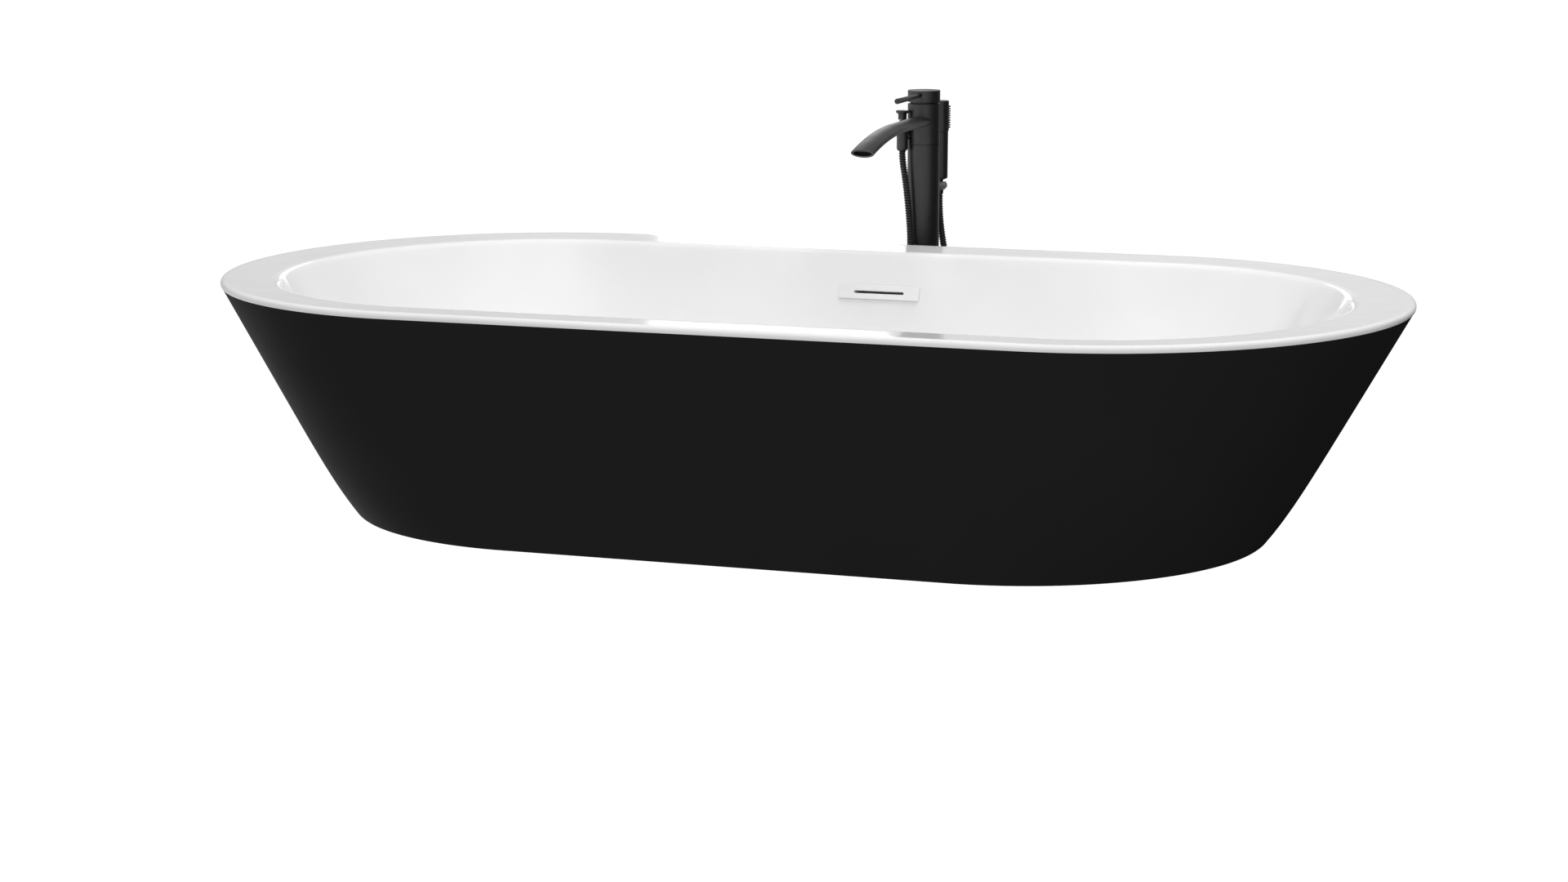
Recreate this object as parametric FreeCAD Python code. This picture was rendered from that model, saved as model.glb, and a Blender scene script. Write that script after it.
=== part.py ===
import FreeCAD, Part
import math
import os

from FreeCAD import Base

# Freestanding oval bathtub with a floor-standing bath filler and hand shower.
# Millimetres, +Z up. The origin is the middle of the tub's base, on the floor.
# X runs along the tub, and the filler stands behind its long side, at +Y.

os.makedirs("parts", exist_ok=True)
V = Base.Vector
X_AXIS = V(1, 0, 0)
Z_AXIS = V(0, 0, 1)

# ---------------------------------------------------------------- driving dimensions
TUB_LENGTH = 2000.0
TUB_WIDTH = 1088.0
TUB_HEIGHT = 393.0

# Ovals are (half length, half width, length of each elliptical end).
RIM_OVAL = (TUB_LENGTH / 2, TUB_WIDTH / 2, 500.0)
BASE_OVAL = (786.0, 434.0, 421.0)   # where the skirt's straight slope would meet the floor
MOUTH_OVAL = (897.0, 450.0, 385.0)
FLOOR_OVAL = (500.0, 206.0, 196.0)

RIM_ROUND = 7.0            # rounding of the deck's outer edge
LIP_HEIGHT = 11.0          # the white lip that shows above the skirt
DECK_FALL = 3.4            # the deck slopes down towards the basin
MOUTH_ROUND = 12.0         # rounding between deck and basin wall
BASIN_FLOOR_Z = 88.0
BASIN_WALL = 6.0
LAMINATE = 4.0
LAMINATE_TOP_Z = 290.0
WALL_SHARE = 0.42          # share of the wall's inward run taken by its straight slope
WALL_POWER = 3.0           # how tightly the wall turns into the floor

SKIRT_WALL = 5.0
SKIRT_INSET = 1.5          # the skirt stands this far inside the lip
SKIRT_FOOT_WIDTH = 28.0
SKIRT_TUCK = 11.6          # the skirt curves in by this much more at the floor
SKIRT_TUCK_Z = 275.0       # height at which that curve begins
SKIRT_TUCK_POWER = 6
SKIRT_LEVELS = (0.0, 12.0, 25.0, 40.0, 60.0, 90.0, 130.0)

BEAD_SETBACK = 7.2         # adhesive bead: its outer edge inside the rim, width, and depth
BEAD_WIDTH = 9.0
BEAD_BELOW, BEAD_ABOVE = 6.0, 3.0

BOARD = (1020.0, 400.0, 14.0)
BOARD_CORNER = 90.0
BOARD_DRAIN_R = 44.0
RAIL = 28.0
RAIL_WALL = 2.0
RAIL_LENGTH = 1160.0
RAIL_Y = 172.0
CROSSBAR_X = (-520.0, -190.0, 190.0, 520.0)
RAIL_GAP = 140.0           # the rear rail stops either side of the waste
FRONT_FEET_X = (-540.0, 0.0, 540.0)
REAR_FEET_X = (-540.0, -110.0, 110.0, 540.0)
FOOT_SPOTS = [(x, -RAIL_Y) for x in FRONT_FEET_X] + [(x, RAIL_Y) for x in REAR_FEET_X]
FOOT_PAD_R, FOOT_PAD_H = 26.0, 13.0
FOOT_STUD_R = 6.0
FOOT_STUD_BASE_Z = 5.0
FOOT_NUT_ACROSS = 19.0

DRAIN_Y = 92.0
DRAIN_HOLE_R = 25.0
DRAIN_FLANGE_R = 36.0
DRAIN_TUBE_R, DRAIN_TUBE_BORE_R = 24.0, 21.0
DRAIN_TUBE_DROP = 34.0     # how far the flange's tube reaches below the basin floor
DRAIN_SEAT_R = 18.0        # the opening the stopper closes
DRAIN_HUB_R = 6.5
DRAIN_GASKET_R = 34.0
DRAIN_NUT_ACROSS = 62.0
DRAIN_BODY_R, DRAIN_BODY_BORE_R = 28.0, 21.5
STOPPER_R = 31.0
STOPPER_SEAL_R = 28.5
STOPPER_STEM_R = 4.0
TEE_Z = 36.0
TEE_OUTLET_Z = TEE_Z + 6.0
TAIL_R = 19.05
TAIL_SPIGOT_R = 18.6       # the tailpiece's upper end, inside the drain body
TAIL_WALL = 1.5

OVERFLOW_Z = 318.5
OVERFLOW_PLATE = (148.0, 25.0, 6.0)
OVERFLOW_SLOT = (92.0, 5.0)
OVERFLOW_CHAMBER = (122.0, 36.0)
OVERFLOW_CHAMBER_DEPTHS = (-34.0, -9.5)
OVERFLOW_WALL = 3.0
OVERFLOW_SPIGOT_Z = 272.0
WASTE_PIPE_R = 16.0
WASTE_PIPE_WALL = 2.5
WASTE_PIPE_BEND = 45.0
SOCKET_WALL = 3.5

FILLER_Y = 700.0
FLOOR_PLATE_R, FLOOR_PLATE_H = 49.0, 6.0
FLOOR_SOCKET_R, FLOOR_SOCKET_BORE_R, FLOOR_SOCKET_Z = 26.2, 21.0, 38.0
FLOOR_BOLT_CIRCLE_R, FLOOR_BOLT_R = 39.0, 4.5
COVER_R, COVER_H = 54.5, 15.5
COLUMN_R = 29.5
COLUMN_WALL = 3.0
COLUMN_SEAM = 0.8          # the narrow gap between column and valve body
SUPPLY_X = 10.5
SUPPLY_R, SUPPLY_BORE_R = 6.0, 4.5
SUPPLY_TOP_Z = 572.0

BODY_R = 29.8
BODY_Z = (561.0, 634.5)
BODY_SPIGOT_R, BODY_SPIGOT = 26.3, 16.0
BODY_NUT_R = 24.0
CARTRIDGE_R, CARTRIDGE_NECK_R = 19.1, 13.8
CARTRIDGE_Z = (584.2, 620.0, 633.4)
CARRIER_R = 6.0
CARRIER_FLANGE_R = 11.0
CARRIER_Z = (612.0, 633.9, 636.5)
FORK = (3.5, 8.0, 7.9)     # each cheek of the fork that holds the tilt pin
FORK_X = 6.55
TILT_PIN_R = 1.5
CAP_Z = (638.0, 659.0)
CAP_CEILING_Z = 647.0
CAP_BORE_R = 26.4
CAP_LUG = (8.8, 8.0, 9.1)
TILT_AXIS_Z = 641.5
LEVER_Z = 651.0
LEVER_LENGTH = 142.0
LEVER_R = 5.0
LEVER_ROOT_R = 3.1
LEVER_TAPER_END = 95.0     # where the lever reaches nearly its full radius
LEVER_THREAD_R = 3.3
LEVER_RECESS_R = 4.8       # the shadow ring where the lever enters the cap
GRUB_R = 2.0

SPOUT_Z = 603.0
SPOUT_SECTION = (21.0, 9.5)      # half width, half thickness
SPOUT_BORE = (17.0, 5.5)
SPOUT_STRAIGHT = 160.0           # from the column's axis to the start of the bend
SPOUT_BEND_R = 900.0
SPOUT_BEND_DEG = 14.0
SPOUT_CUT_DEG = 30.0             # the mouth's face is cut back underneath
NIPPLE_R, NIPPLE_BORE_R = 6.9, 4.5
NIPPLE_START, NIPPLE_END = 19.5, 50.0
AERATOR_DEPTHS = (6.0, 7.0)      # set back from the mouth, and thickness
AERATOR_HOLE_R, AERATOR_PITCH = 1.3, 3.4

DIVERTER_AT = (-33.0, -27.0)     # from the column's axis
DIVERTER_R = 10.3
DIVERTER_Z = (549.0, 594.0)
DIVERTER_ARM_Z = 577.0
DIVERTER_ARM_R, DIVERTER_NIPPLE_R, DIVERTER_ARM_BORE_R = 7.5, 4.9, 3.4
DIVERTER_CHAMBER_R = 8.4
DIVERTER_COLLAR_R, DIVERTER_COLLAR_Z = 5.7, 605.0
DIVERTER_OUTLET_R = 5.0
DIVERTER_KNOB_R = 12.0
DIVERTER_STEM_R = 2.5
DIVERTER_STEM_TOP_Z = 614.0
DIVERTER_PLUNGER_R, DIVERTER_PLUNGER_H = 8.1, 6.0

HANDSET_AT = (18.0, 45.0)        # from the column's axis
HANDSET_Z = (492.0, 581.0, 637.0)
HANDLE_R, HEAD_R = 15.2, 16.3
HEAD_BORE_R, HANDLE_BORE_R = 12.6, 8.0
SPIGOT_R, SPIGOT_H = 12.5, 4.5
NUB_R = 1.25
NUB_IN, NUB_OUT = 3.9, 3.1       # from the head's surface
NUB_ROWS_DEG = (-26.0, 0.0, 26.0)
NUB_PITCH, NUB_COUNT = 4.25, 10
NUB_FIRST_Z = 588.0
CONE_BORE_R, CONE_THREAD_R = 4.2, 5.5
CONE_Z = (466.0, 486.4, 487.2)
CONE_R = (7.0, 8.8, 6.6)
CRADLE_Z = 480.3
CRADLE_ARM_R = 5.6
CRADLE_SLOT = 13.6
CRADLE_SCREW_R, CRADLE_SCREW_HEAD_R = 2.5, 4.5

HOSE_R = 6.3
# The hose hangs from the diverter, round the front of the column, up to the handset.
HOSE_ROUTE = [
    (-33.0, 673.0, 549.0),
    (-33.0, 673.0, 534.0),
    (-26.0, 669.0, 501.0),
    (-18.5, 665.2, 450.0),
    (-13.0, 662.8, 392.0),
    (-8.5, 656.0, 330.0),
    (-16.0, 644.0, 258.0),
    (-31.0, 634.0, 184.0),
    (-45.0, 628.5, 116.0),
    (-30.0, 634.0, 75.0),
    (4.5, 646.5, 50.0),
    (46.0, 661.0, 50.5),
    (80.0, 673.5, 75.0),
    (95.0, 680.0, 116.0),
    (82.0, 692.0, 190.0),
    (61.0, 706.5, 262.0),
    (41.0, 722.5, 330.0),
    (25.0, 738.5, 390.0),
    (18.0, 745.0, 434.0),
    (18.0, 745.0, 466.0),
]


# ---------------------------------------------------------------- helpers
def save(name, shape):
    if shape.ShapeType == "Compound" and len(shape.Solids) == 1:
        shape = shape.Solids[0]
    for solid in shape.Solids:
        if not solid.isValid() or not solid.isClosed():
            print("CHECK", name, "has a solid that is not valid or not closed")
    shape.exportStep("parts/" + name + ".step")
    print(name, len(shape.Solids), "solids", round(shape.Volume / 1000.0, 1), "cm3")


def group(shapes):
    return Part.makeCompound(shapes)


def grow(oval, by):
    return tuple(size + by for size in oval)


def mix(first, second, share):
    return tuple(a + (b - a) * share for a, b in zip(first, second))


def quarter(start, corner, end):
    curve = Part.BezierCurve()
    curve.setPoles([start, corner, end])
    curve.setWeight(2, math.sqrt(0.5))
    return curve.toShape()


def oval_wire(oval, z):
    """Two straight sides joined by two half ellipses, as six edges."""
    a, b, end = oval
    s = a - end
    top_l, top_r = V(-s, b, z), V(s, b, z)
    low_l, low_r = V(-s, -b, z), V(s, -b, z)
    edges = [
        Part.makeLine(low_l, low_r),
        quarter(low_r, V(a, -b, z), V(a, 0, z)),
        quarter(V(a, 0, z), V(a, b, z), top_r),
        Part.makeLine(top_r, top_l),
        quarter(top_l, V(-a, b, z), V(-a, 0, z)),
        quarter(V(-a, 0, z), V(-a, -b, z), low_l),
    ]
    return Part.Wire(edges)


def oval_stack(sections):
    """A closed solid through (oval, z) sections, ruled from each to the next."""
    return Part.makeLoft([oval_wire(oval, z) for oval, z in sections], True, True)


def cyl(r, z0, z1, at=(0.0, 0.0)):
    return Part.makeCylinder(r, z1 - z0, V(at[0], at[1], z0))


def ring(r_out, r_in, z0, z1, at=(0.0, 0.0)):
    return cyl(r_out, z0, z1, at).cut(cyl(r_in, z0 - 1, z1 + 1, at))


def rod(r, start, end):
    return Part.makeCylinder(r, (end - start).Length, start, end - start)


def turned(profile, at=(0.0, 0.0)):
    """A body of revolution about a vertical axis from (radius, z) points."""
    points = [V(r, 0, z) for r, z in profile]
    face = Part.Face(Part.makePolygon(points + [points[0]]))
    solid = face.revolve(V(0, 0, 0), Z_AXIS, 360)
    solid.translate(V(at[0], at[1], 0))
    return solid


def hex_nut(across, z0, z1, bore, at=(0.0, 0.0)):
    radius = across / math.sqrt(3)
    corners = [V(radius * math.cos(math.radians(60 * k)), radius * math.sin(math.radians(60 * k)), z0)
               for k in range(7)]
    nut = Part.Face(Part.makePolygon(corners)).extrude(V(0, 0, z1 - z0))
    nut.translate(V(at[0], at[1], 0))
    return nut.cut(cyl(bore, z0 - 1, z1 + 1, at))


def slab(width, height, z0, z1, corner):
    """A rounded rectangle in XY, standing from z0 to z1."""
    box = Part.makeBox(width, height, z1 - z0, V(-width / 2, -height / 2, z0))
    upright = [e for e in box.Edges if abs(e.Vertexes[0].Z - e.Vertexes[1].Z) > (z1 - z0) / 2]
    return box.makeFillet(min(corner, height / 2 - 0.01), upright)


def box_at(sizes, centre):
    corner = V(*centre) - V(*sizes) * 0.5
    return Part.makeBox(sizes[0], sizes[1], sizes[2], corner)


def bent_path(points, radius_of):
    """Straight runs joined by tangent arcs, and the radius used at each corner."""
    points = [V(*p) for p in points]
    edges, radii, last = [], [], points[0]
    for before, corner, after in zip(points, points[1:], points[2:]):
        back, ahead = before - corner, after - corner
        turn = math.pi - back.getAngle(ahead)
        radius = radius_of(min(back.Length, ahead.Length), turn)
        reach = radius * math.tan(turn / 2)
        back.normalize()
        ahead.normalize()
        start, end = corner + back * reach, corner + ahead * reach
        inward = back + ahead
        inward.normalize()
        middle = corner + inward * (radius / math.cos(turn / 2) - radius)
        edges.append(Part.makeLine(last, start))
        edges.append(Part.Arc(start, middle, end).toShape())
        radii.append(radius)
        last = end
    edges.append(Part.makeLine(last, points[-1]))
    return Part.Wire(edges), radii


def along(path, r):
    start = path.Edges[0].valueAt(path.Edges[0].FirstParameter)
    heading = path.Edges[0].tangentAt(path.Edges[0].FirstParameter)
    circle = Part.Wire(Part.makeCircle(r, start, heading))
    return path.makePipeShell([circle], True, True)


def polar(radius, degrees, centre=(0.0, 0.0)):
    angle = math.radians(degrees)
    return centre[0] + radius * math.cos(angle), centre[1] + radius * math.sin(angle)


# ---------------------------------------------------------------- tub shells
EDGE_Z = TUB_HEIGHT - DECK_FALL
WALL_TOP_Z = EDGE_Z - MOUTH_ROUND
LIP_Z = TUB_HEIGHT - LIP_HEIGHT


def wall_oval(depth):
    """The basin's outline at a share of its depth: a straight slope that turns into the floor."""
    turn = 1 - (1 - depth ** WALL_POWER) ** (1 / WALL_POWER)
    return mix(MOUTH_OVAL, FLOOR_OVAL, WALL_SHARE * depth + (1 - WALL_SHARE) * turn)


def wall_sections(offset, floor_z, steps=16):
    """Ovals down the basin wall, from its top to the edge of its floor."""
    sections = []
    for k in range(steps + 1):
        depth = math.sin(math.pi / 2 * k / steps)
        z = WALL_TOP_Z - (WALL_TOP_Z - floor_z) * depth
        sections.append((grow(wall_oval(depth), offset), z))
    return sections


def mouth_sections(steps=5):
    """The rounding from the deck down into the wall."""
    sections = []
    for k in range(steps):
        angle = math.pi / 2 * k / steps
        out = MOUTH_ROUND * (1 - math.sin(angle))
        sections.append((grow(MOUTH_OVAL, out), EDGE_Z - MOUTH_ROUND * (1 - math.cos(angle))))
    return sections


def overflow_frame(shape):
    """Puts a shape drawn flat, with +Z into the basin, on the back wall."""
    wall_y = wall_oval((WALL_TOP_Z - OVERFLOW_Z) / (WALL_TOP_Z - BASIN_FLOOR_Z))[1]
    run = (MOUTH_OVAL[1] - FLOOR_OVAL[1]) * WALL_SHARE / (WALL_TOP_Z - BASIN_FLOOR_Z)
    lean = math.degrees(math.atan(run))
    shape.rotate(V(0, 0, 0), X_AXIS, 90 - lean)
    shape.translate(V(0, wall_y, OVERFLOW_Z))
    return shape


def basin_shell():
    rounding = []
    for k in range(7):
        angle = math.pi / 2 * k / 6
        pull = RIM_ROUND * (1 - math.cos(angle))
        rise = RIM_ROUND * math.sin(angle)
        rounding.append((grow(RIM_OVAL, -pull), TUB_HEIGHT - RIM_ROUND + rise))
    deck = oval_stack([(grow(RIM_OVAL, -0.6), LIP_Z)] + rounding)
    under_rim = grow(RIM_OVAL, -BASIN_WALL)
    under = oval_stack([(under_rim, LIP_Z - 1), (under_rim, TUB_HEIGHT - BASIN_WALL - 1.0)])
    inner_edge = grow(MOUTH_OVAL, MOUTH_ROUND + 2)
    under = under.cut(oval_stack([(inner_edge, LIP_Z - 2), (inner_edge, TUB_HEIGHT)]))
    bowl_top = (grow(MOUTH_OVAL, BASIN_WALL + 4), EDGE_Z - 1.5)
    bowl = oval_stack([bowl_top] + wall_sections(BASIN_WALL, BASIN_FLOOR_Z - BASIN_WALL))
    outside = deck.cut(under).fuse(bowl)
    fall = oval_stack([(grow(RIM_OVAL, -RIM_ROUND), TUB_HEIGHT), (grow(MOUTH_OVAL, MOUTH_ROUND), EDGE_Z)])
    hollow = oval_stack(mouth_sections() + wall_sections(0.0, BASIN_FLOOR_Z))
    shell = outside.cut(fall).cut(hollow)
    window = slab(OVERFLOW_SLOT[0] + 4, 13.0, -20.0, 10.0, 6.5)
    shell = shell.cut(overflow_frame(window))
    return shell.cut(cyl(DRAIN_HOLE_R, BASIN_FLOOR_Z - 20, BASIN_FLOOR_Z + 10, (0, DRAIN_Y)))


def laminate():
    outer = oval_stack(wall_sections(BASIN_WALL + LAMINATE, BASIN_FLOOR_Z - BASIN_WALL - LAMINATE))
    inner = oval_stack(wall_sections(BASIN_WALL, BASIN_FLOOR_Z - BASIN_WALL))
    above = Part.makeBox(TUB_LENGTH, TUB_WIDTH, 200, V(-TUB_LENGTH / 2, -TUB_WIDTH / 2, LAMINATE_TOP_Z))
    layer = outer.cut(inner).cut(above)
    return layer.cut(cyl(DRAIN_HOLE_R + 12, 60, 110, (0, DRAIN_Y)))


def skirt_oval(z):
    """The skirt's outline: a straight slope that tucks in towards the floor."""
    straight = mix(BASE_OVAL, grow(RIM_OVAL, -SKIRT_INSET), z / LIP_Z)
    tuck = SKIRT_TUCK * max(0.0, 1 - z / SKIRT_TUCK_Z) ** SKIRT_TUCK_POWER
    return grow(straight, -tuck)


def skirt():
    outer = oval_stack([(skirt_oval(z), z) for z in SKIRT_LEVELS + (LIP_Z,)])
    levels = (SKIRT_WALL,) + SKIRT_LEVELS[1:] + (LIP_Z * 1.05,)
    inner = oval_stack([(grow(skirt_oval(z), -SKIRT_WALL), z) for z in levels])
    opening = grow(skirt_oval(0.0), -SKIRT_FOOT_WIDTH)
    return outer.cut(inner).cut(oval_stack([(opening, -1), (opening, SKIRT_WALL + 1)]))


def rim_bead():
    """The adhesive that bonds the deck's underside to the skirt's top edge."""
    outline = grow(RIM_OVAL, -BEAD_SETBACK)
    inside = grow(outline, -BEAD_WIDTH)
    bead = oval_stack([(outline, LIP_Z - BEAD_BELOW), (outline, LIP_Z + BEAD_ABOVE)])
    bead = bead.cut(oval_stack([(inside, LIP_Z - BEAD_BELOW - 2), (inside, LIP_Z + BEAD_ABOVE + 2)]))
    return bead.cut(skirt())


def make_tub():
    save("basin_shell", basin_shell())
    save("basin_laminate", laminate())
    save("outer_skirt", skirt())
    save("rim_adhesive_bead", rim_bead())


# ---------------------------------------------------------------- base frame and feet
BOARD_Z = BASIN_FLOOR_Z - BASIN_WALL - LAMINATE - BOARD[2]
RAIL_Z = BOARD_Z - RAIL


def box_tube(length, centre, along_x):
    inside = RAIL - 2 * RAIL_WALL
    size = (length, RAIL, RAIL)
    hollow = (length + 2, inside, inside)
    if not along_x:
        size = (RAIL, length, RAIL)
        hollow = (inside, length + 2, inside)
    return box_at(size, centre).cut(box_at(hollow, centre))


def make_rails():
    rail_mid = RAIL_Z + RAIL / 2
    rear = box_tube(RAIL_LENGTH, (0, RAIL_Y, rail_mid), True)
    rails = {
        "front_rail": box_tube(RAIL_LENGTH, (0, -RAIL_Y, rail_mid), True),
        "rear_rails": rear.cut(box_at((RAIL_GAP, 2 * RAIL, 2 * RAIL), (0, RAIL_Y, rail_mid))),
    }
    for name, rail in rails.items():
        for spot in FOOT_SPOTS:
            rail = rail.cut(cyl(FOOT_STUD_R + 0.5, RAIL_Z - 1, RAIL_Z + RAIL_WALL + 1, spot))
        save(name, rail)
    bar_length = 2 * RAIL_Y - RAIL
    save("frame_crossbars", group([box_tube(bar_length, (x, 0, rail_mid), False) for x in CROSSBAR_X]))


def foot_pad(spot):
    pad = turned([(0, 0), (FOOT_PAD_R, 0), (FOOT_PAD_R, 4), (FOOT_PAD_R - 8, 9),
                  (FOOT_STUD_R + 5, FOOT_PAD_H), (0, FOOT_PAD_H)], spot)
    return pad.cut(cyl(FOOT_STUD_R, FOOT_STUD_BASE_Z, FOOT_PAD_H + 7, spot))


def foot_nut(z0, z1, spot):
    return hex_nut(FOOT_NUT_ACROSS, z0, z1, FOOT_STUD_R, spot)


def make_frame():
    board = slab(BOARD[0], BOARD[1], BOARD_Z, BOARD_Z + BOARD[2], BOARD_CORNER)
    save("base_board", board.cut(cyl(BOARD_DRAIN_R, BOARD_Z - 1, BOARD_Z + BOARD[2] + 1, (0, DRAIN_Y))))
    make_rails()
    weld_z = RAIL_Z + RAIL_WALL
    save("foot_pads", group([foot_pad(spot) for spot in FOOT_SPOTS]))
    save("foot_studs", group([cyl(FOOT_STUD_R, FOOT_STUD_BASE_Z, RAIL_Z + RAIL - 4, spot)
                              for spot in FOOT_SPOTS]))
    save("foot_lock_nuts", group([foot_nut(RAIL_Z - 7.0, RAIL_Z - 0.5, spot) for spot in FOOT_SPOTS]))
    save("foot_weld_nuts", group([foot_nut(weld_z, weld_z + 9, spot) for spot in FOOT_SPOTS]))


# ---------------------------------------------------------------- overflow
def overflow_plate():
    width, height, thick = OVERFLOW_PLATE
    plate = slab(width, height, 0.4, thick, 2.5)
    front = [e for e in plate.Edges if min(v.Z for v in e.Vertexes) > thick - 0.01]
    plate = plate.makeFillet(1.2, front)
    slot = slab(OVERFLOW_SLOT[0], OVERFLOW_SLOT[1], -1, thick + 1, OVERFLOW_SLOT[1] / 2)
    return overflow_frame(plate.cut(slot))


def overflow_body(spigot):
    """The chamber behind the wall, its neck through the wall, and its downward spigot."""
    width, height = OVERFLOW_CHAMBER
    back, face = OVERFLOW_CHAMBER_DEPTHS
    mouth = face - OVERFLOW_WALL
    outer = (OVERFLOW_SLOT[0] + 2, 11.0)
    neck = slab(outer[0], outer[1], -24, 0.4, 5.5)
    neck = neck.cut(slab(OVERFLOW_SLOT[0] - 2, 7.5, -30, 2, 3.7))
    neck = neck.cut(slab(140, 60, -40, mouth, 5))
    chamber = slab(width, height, back, face, 10)
    chamber = chamber.cut(slab(width - 6, height - 6, back + OVERFLOW_WALL, mouth, 8))
    chamber = chamber.cut(slab(outer[0] - 0.1, outer[1] - 0.1, mouth - 1.5, face + 1.5, 5.4))
    body = overflow_frame(chamber.fuse(neck))
    at = (0.0, spigot.y)
    body = body.fuse(cyl(WASTE_PIPE_R + SOCKET_WALL, OVERFLOW_SPIGOT_Z, spigot.z - 12, at))
    body = body.cut(cyl(WASTE_PIPE_R + 0.1, OVERFLOW_SPIGOT_Z - 2, OVERFLOW_SPIGOT_Z + 16, at))
    body = body.cut(cyl(WASTE_PIPE_R - OVERFLOW_WALL, OVERFLOW_SPIGOT_Z + 8, spigot.z + 2, at))
    return body.removeSplitter()


def make_overflow():
    save("overflow_plate", overflow_plate())
    spigot = overflow_frame(Part.Vertex(0, 0, -22)).Point
    save("overflow_body", overflow_body(spigot))
    gasket = slab(120, 34, -9.4, -6.6, 10).cut(slab(OVERFLOW_SLOT[0] + 3, 12.4, -12, 0, 6.1))
    save("overflow_gasket", overflow_frame(gasket))
    route = [
        (0, spigot.y, OVERFLOW_SPIGOT_Z + 15.5),
        (0, spigot.y, 150),
        (0, 330, TEE_OUTLET_Z),
        (0, DRAIN_Y + 34, TEE_OUTLET_Z),
    ]
    path, _ = bent_path(route, lambda run, turn: WASTE_PIPE_BEND)
    save("overflow_pipe", along(path, WASTE_PIPE_R).cut(along(path, WASTE_PIPE_R - WASTE_PIPE_WALL)))


# ---------------------------------------------------------------- drain
DRAIN_AT = (0.0, DRAIN_Y)


def drain_flange():
    z = BASIN_FLOOR_Z
    flange = turned([(DRAIN_SEAT_R, z + 2.2), (DRAIN_FLANGE_R - 5, z + 2.8), (DRAIN_FLANGE_R, z + 1.2),
                     (DRAIN_FLANGE_R, z + 0.3), (DRAIN_TUBE_R, z + 0.3),
                     (DRAIN_TUBE_R, z - DRAIN_TUBE_DROP), (DRAIN_TUBE_BORE_R, z - DRAIN_TUBE_DROP),
                     (DRAIN_TUBE_BORE_R, z - 2), (DRAIN_SEAT_R, z - 2)], DRAIN_AT)
    hub = cyl(DRAIN_HUB_R, z - 24, z - 14, DRAIN_AT)
    for k in range(4):
        spoke = box_at((17, 2.4, 6), (13.2, 0, z - 19))
        spoke.rotate(V(0, 0, 0), Z_AXIS, 45 + 90 * k)
        spoke.translate(V(0, DRAIN_Y, 0))
        hub = hub.fuse(spoke)
    return flange.fuse(hub.cut(cyl(STOPPER_STEM_R + 0.1, z - 30, z, DRAIN_AT)))


def outlet_rod(r, y0, y1):
    """A rod towards the overflow, at the height of the side outlet."""
    return rod(r, V(0, DRAIN_Y + y0, TEE_OUTLET_Z), V(0, DRAIN_Y + y1, TEE_OUTLET_Z))


def drain_body():
    z = BASIN_FLOOR_Z
    body = cyl(DRAIN_BODY_R, TEE_Z - 14, z - 21, DRAIN_AT)
    body = body.fuse(outlet_rod(WASTE_PIPE_R + SOCKET_WALL, 20, 48))
    body = body.cut(cyl(DRAIN_TUBE_R + 0.1, z - DRAIN_TUBE_DROP - 2, z, DRAIN_AT))
    body = body.cut(cyl(DRAIN_BODY_BORE_R, TEE_Z - 10, z, DRAIN_AT))
    body = body.cut(outlet_rod(WASTE_PIPE_R + 0.1, 33.5, 60))
    body = body.cut(outlet_rod(WASTE_PIPE_R - 3, 0, 40))
    return body.cut(cyl(TAIL_SPIGOT_R, TEE_Z - 20, TEE_Z, DRAIN_AT))


def tailpiece():
    shoulder = TEE_Z - 14.5
    tail = cyl(TAIL_R, 1.0, shoulder, DRAIN_AT).fuse(cyl(TAIL_SPIGOT_R, shoulder, TEE_Z - 3, DRAIN_AT))
    return tail.cut(cyl(TAIL_SPIGOT_R - TAIL_WALL, 0, TEE_Z, DRAIN_AT))


def drain_stopper():
    z = BASIN_FLOOR_Z
    return turned([(0, z + 4.0), (STOPPER_R - 2, z + 4.0), (STOPPER_R, z + 5.0), (STOPPER_R, z + 6.0),
                   (24, z + 8.6), (12, z + 9.8), (0, z + 10.2)], DRAIN_AT)


def make_drain():
    z = BASIN_FLOOR_Z
    under = z - BASIN_WALL
    save("drain_flange", drain_flange())
    save("drain_gasket", ring(DRAIN_GASKET_R, DRAIN_TUBE_R + 0.2, under - 3, under, DRAIN_AT))
    save("drain_lock_nut", hex_nut(DRAIN_NUT_ACROSS, under - 13, under - 3.2, DRAIN_TUBE_R + 0.1, DRAIN_AT))
    save("drain_body", drain_body())
    save("tailpiece", tailpiece())
    save("drain_stopper", drain_stopper())
    save("stopper_seal", ring(STOPPER_SEAL_R, STOPPER_SEAL_R - 5.5, z + 3.1, z + 4.0, DRAIN_AT))
    save("stopper_stem", cyl(STOPPER_STEM_R, z - 26, z + 4.0, DRAIN_AT))


# ---------------------------------------------------------------- filler column and valve
DIVERTER_ANGLE = math.degrees(math.atan2(DIVERTER_AT[1], DIVERTER_AT[0]))
HANDSET_ANGLE = math.degrees(math.atan2(HANDSET_AT[1], HANDSET_AT[0]))


def save_at_column(name, shape):
    shape.translate(V(0, FILLER_Y, 0))
    save(name, shape)


def radial_rod(r, z, degrees, r0, r1):
    x0, y0 = polar(r0, degrees)
    x1, y1 = polar(r1, degrees)
    return rod(r, V(x0, y0, z), V(x1, y1, z))


def front_rod(r, z, y0, y1):
    return rod(r, V(0, y0, z), V(0, y1, z))


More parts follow.
